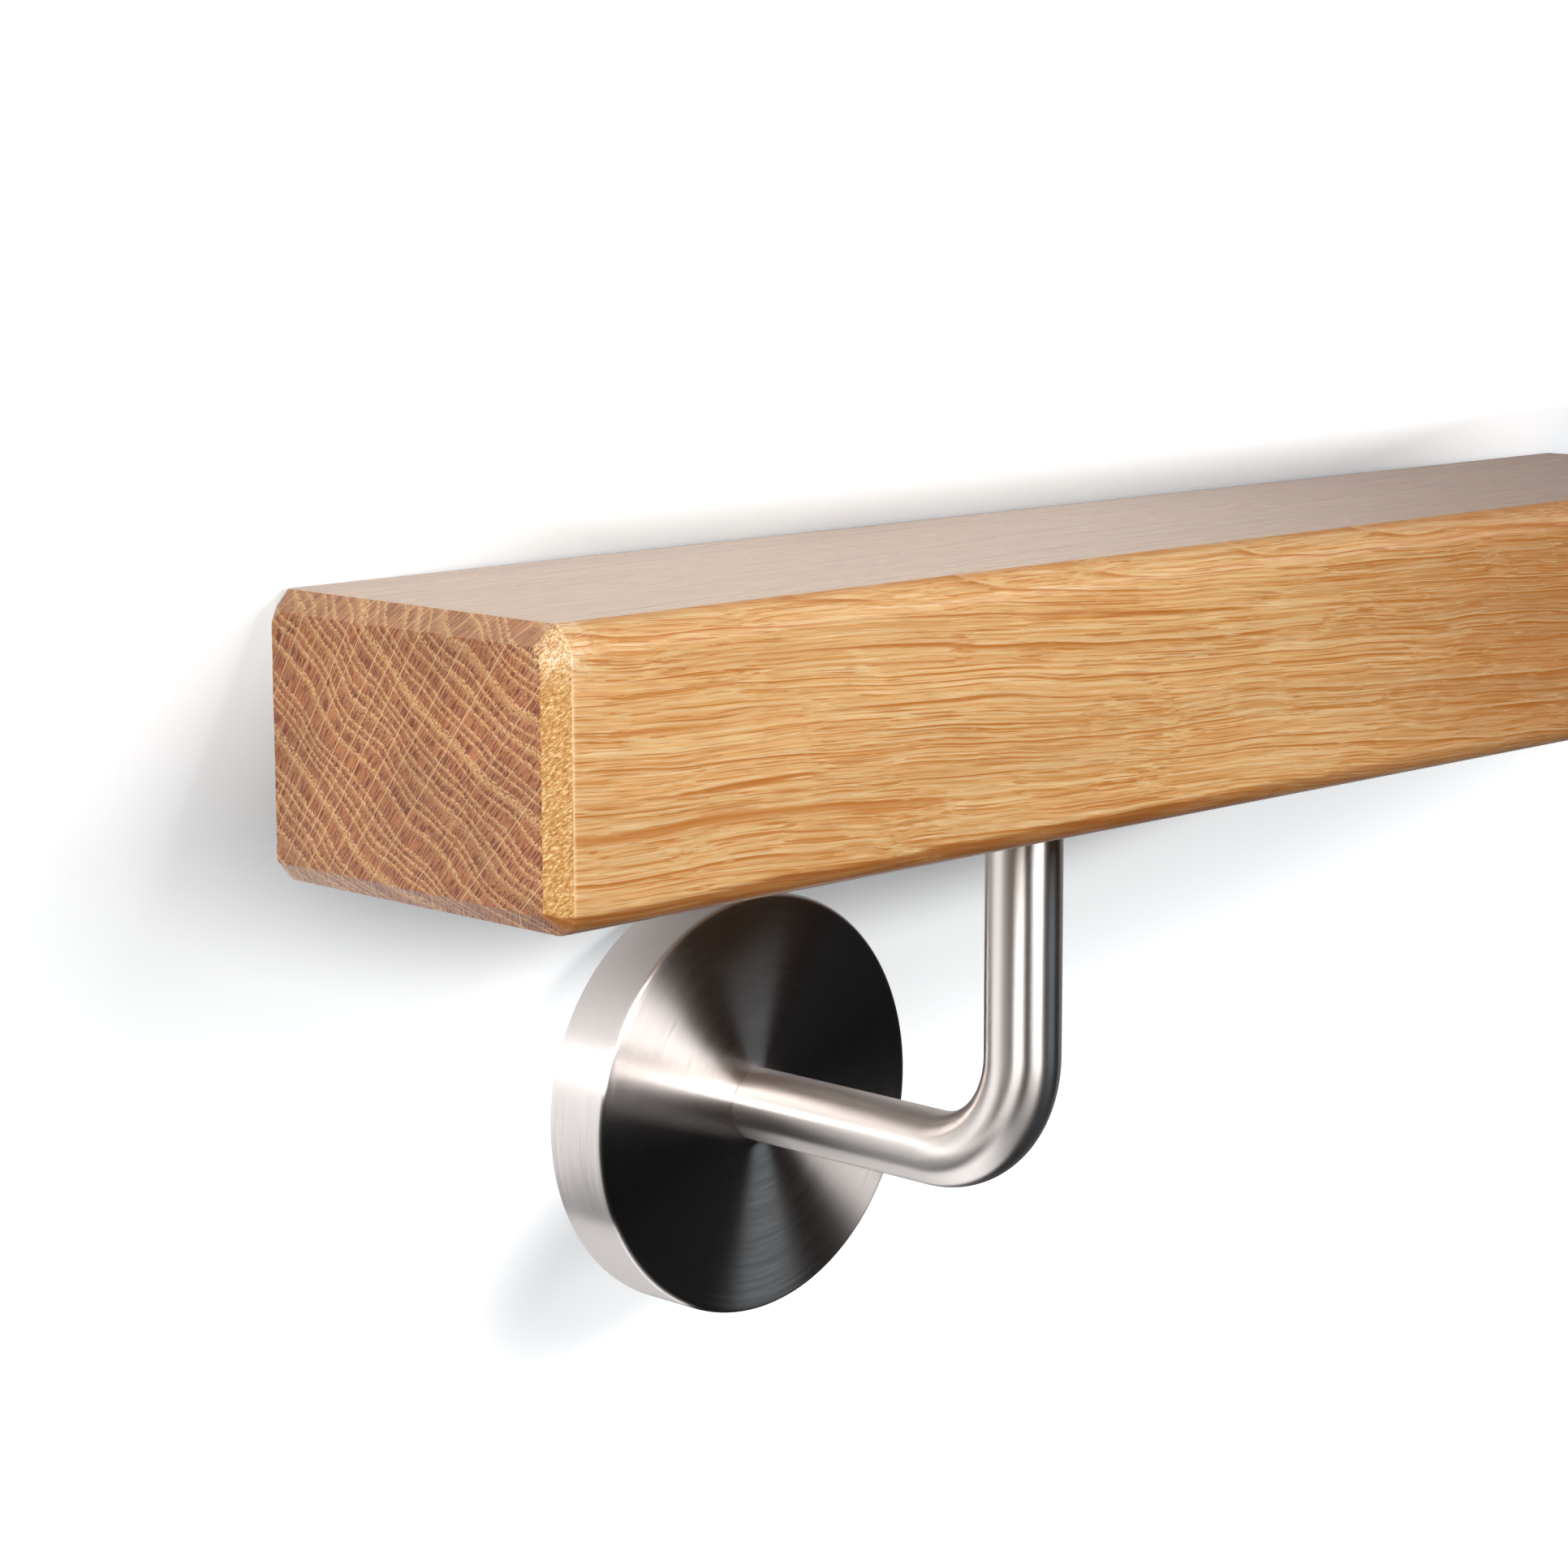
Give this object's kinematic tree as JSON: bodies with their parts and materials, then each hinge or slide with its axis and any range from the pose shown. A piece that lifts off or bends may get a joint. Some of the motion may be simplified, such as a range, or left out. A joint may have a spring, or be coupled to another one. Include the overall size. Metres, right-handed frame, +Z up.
{
  "type": "stair handrail length",
  "caption": "Short length of oak stair handrail with eased edges on a bent round-bar stainless wall bracket with a turned cover rosette; the bracket screws to a wall and carries the rail.",
  "frame": {"origin": "middle of the resting footprint, at floor level", "axes": "+Z up as it lies on the floor; +X along the rail, towards the end that is nearer in the picture; -Y towards the rail's side"},
  "size_m": [0.3, 0.1644, 0.0767],
  "materials": {
    "oak": "clear satin oil",
    "steel_bar": "brushed along its length",
    "steel_turned": "turned face with circular brushing",
    "steel_plate": "plain rolled",
    "steel_bolt": "plain"
  },
  "bodies": {
    "root": {"handrail": "oak", "bracket_rod": "steel_bar", "cover_rosette": "steel_turned", "wall_plate": "steel_plate", "hanger_bolt": "steel_bolt"}
  },
  "joints": []
}
